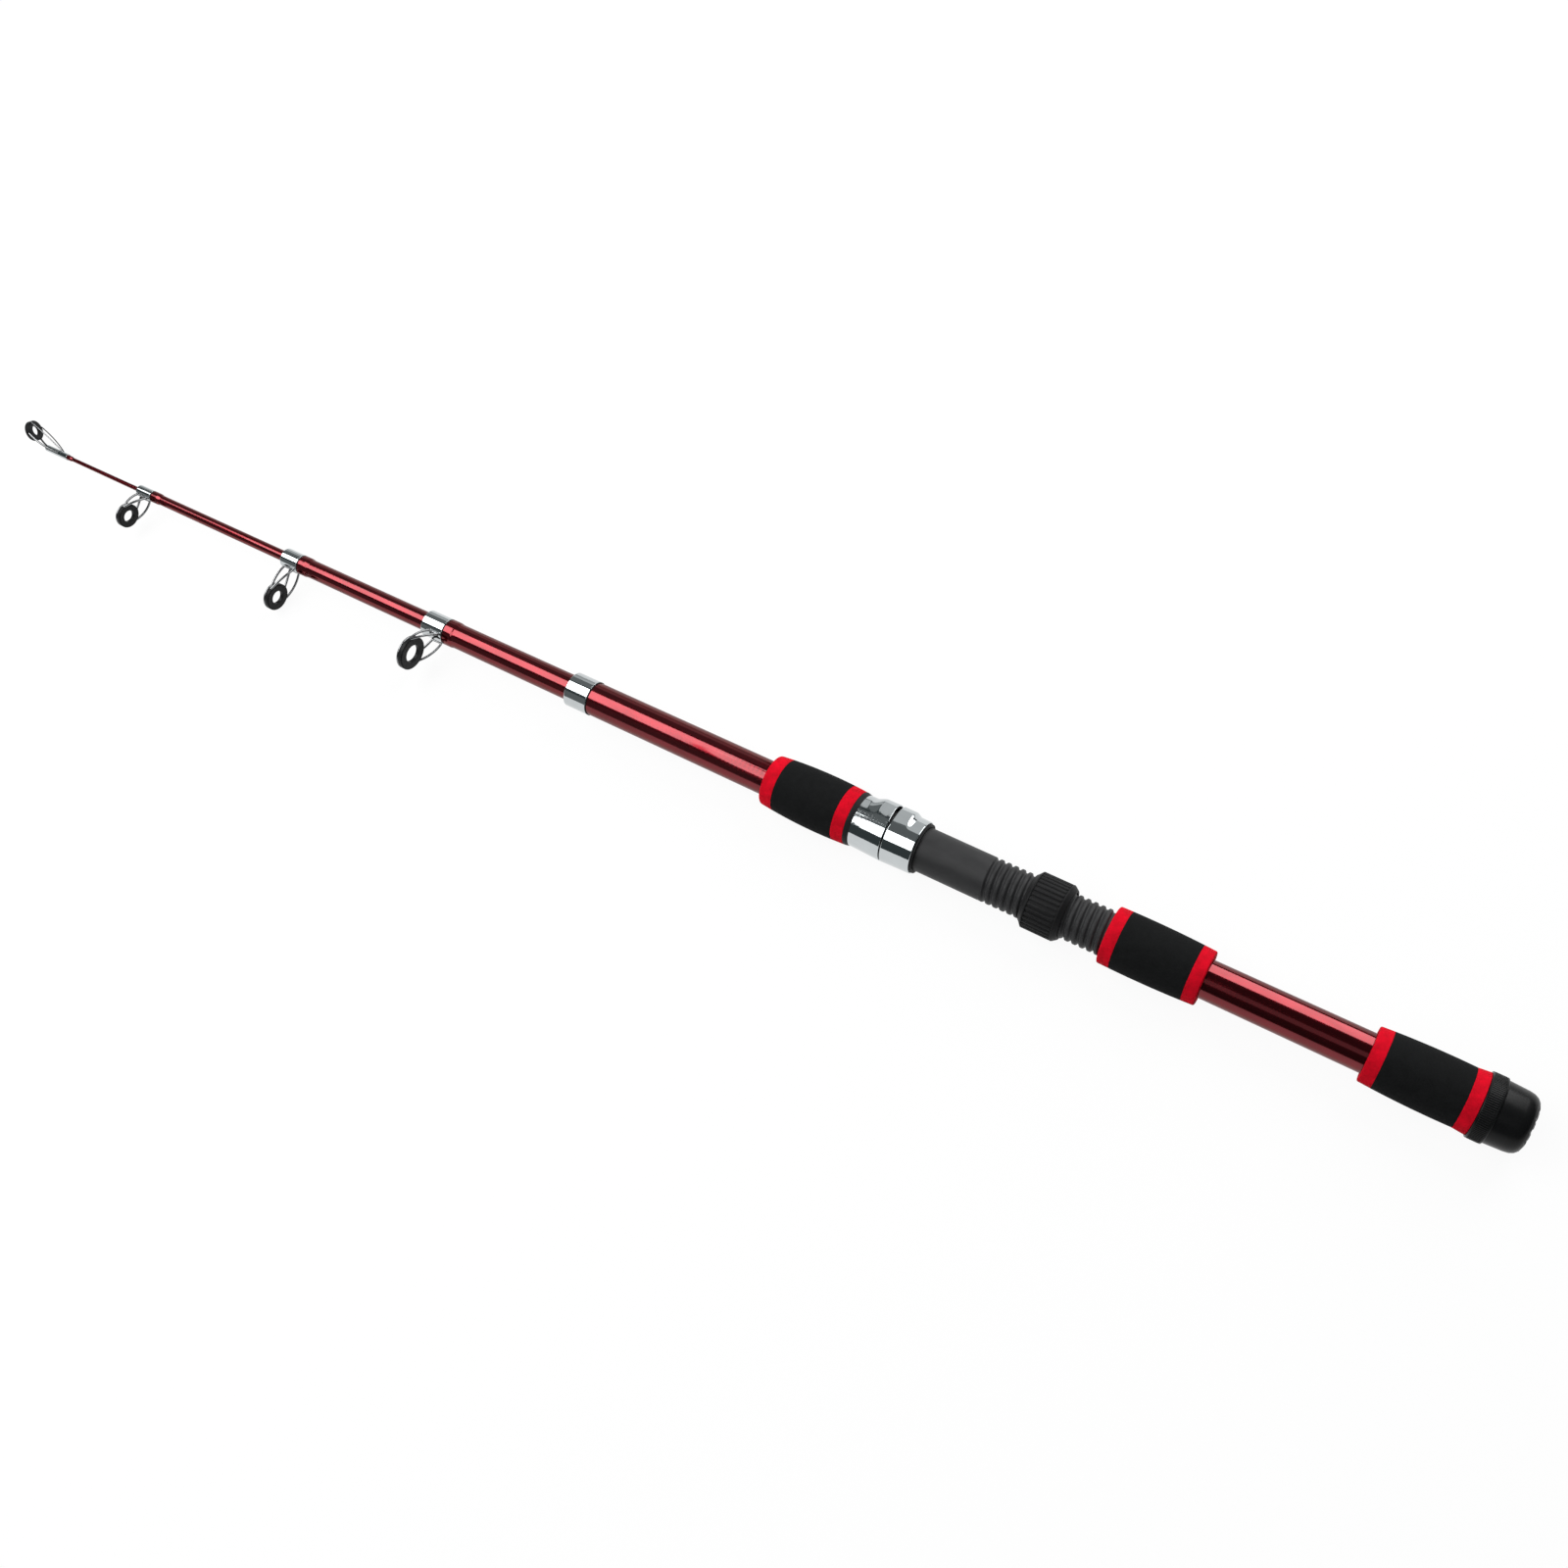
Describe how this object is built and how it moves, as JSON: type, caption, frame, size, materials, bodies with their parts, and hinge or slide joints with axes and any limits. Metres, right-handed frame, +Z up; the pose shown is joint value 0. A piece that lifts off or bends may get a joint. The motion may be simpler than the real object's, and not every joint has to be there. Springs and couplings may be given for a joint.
{
  "type": "telescopic fishing rod",
  "caption": "Telescopic spinning rod with sliding tube sections, wire line guides, a screw-lock reel seat, foam grips and a screw-on butt cap, shown part pulled out.",
  "frame": {"origin": "centre of the butt cap's end face, on the rod's axis", "axes": "+X along the rod's axis from the butt to the tip; +Z up, as the rod lies on a table; the line guides point to +Y"},
  "size_m": [0.7762, 0.0392, 0.0262],
  "materials": {
    "red_blank": "gloss",
    "red_foam": "matte",
    "black_foam": "matte",
    "seat_plastic": "satin",
    "cap_plastic": "gloss",
    "chrome": "polished",
    "ring_ceramic": "polished",
    "cork": "matte"
  },
  "bodies": {
    "handle": {"butt_blank": "red_blank", "winding_check": "chrome", "butt_insert": "seat_plastic", "seat_arbor_front": "cork", "seat_arbor_rear": "cork", "fore_grip_sleeve": "black_foam", "fore_grip_front_ring": "red_foam", "fore_grip_rear_ring": "red_foam", "fore_grip_trim_ring": "seat_plastic", "rear_grip_sleeve": "black_foam", "rear_grip_front_ring": "red_foam", "rear_grip_rear_ring": "red_foam", "butt_grip_sleeve": "black_foam", "butt_grip_front_ring": "red_foam", "butt_grip_rear_ring": "red_foam", "seat_body": "seat_plastic", "fixed_hood": "chrome"},
    "moving_hood": {"moving_hood_shell": "chrome", "moving_hood_liner": "seat_plastic"},
    "nut": {"seat_nut": "seat_plastic"},
    "cap": {"butt_cap": "cap_plastic", "cap_buffer": "cork"},
    "section_4": {"section_4_blank": "red_blank", "section_4_collar": "chrome", "section_4_frame": "chrome", "section_4_ring": "ring_ceramic"},
    "section_3": {"section_3_blank": "red_blank", "section_3_collar": "chrome", "section_3_frame": "chrome", "section_3_ring": "ring_ceramic"},
    "section_2": {"section_2_blank": "red_blank", "section_2_collar": "chrome", "section_2_frame": "chrome", "section_2_ring": "ring_ceramic"},
    "tip": {"tip_blank": "red_blank", "tip_top_tube": "chrome", "tip_top_frame": "chrome", "tip_ring": "ring_ceramic"}
  },
  "joints": [
    {"name": "hood_slide", "type": "slide", "parent": "handle", "child": "moving_hood", "axis": [1, 0, 0], "range_m": [-0.028, 0]},
    {"name": "nut_travel", "type": "slide", "parent": "handle", "child": "nut", "axis": [1, 0, 0], "range_m": [-0.0172, 0.0175]},
    {"name": "cap_draw", "type": "slide", "parent": "handle", "child": "cap", "axis": [-1, 0, 0], "range_m": [0, 0.025]},
    {"name": "section_4_slide", "type": "slide", "parent": "handle", "child": "section_4", "axis": [1, 0, 0], "range_m": [-0.0709, 0.262]},
    {"name": "section_3_slide", "type": "slide", "parent": "section_4", "child": "section_3", "axis": [1, 0, 0], "range_m": [-0.0781, 0.2565]},
    {"name": "section_2_slide", "type": "slide", "parent": "section_3", "child": "section_2", "axis": [1, 0, 0], "range_m": [-0.0894, 0.2459]},
    {"name": "tip_slide", "type": "slide", "parent": "section_2", "child": "tip", "axis": [1, 0, 0], "range_m": [-0.0514, 0.2556]}
  ]
}
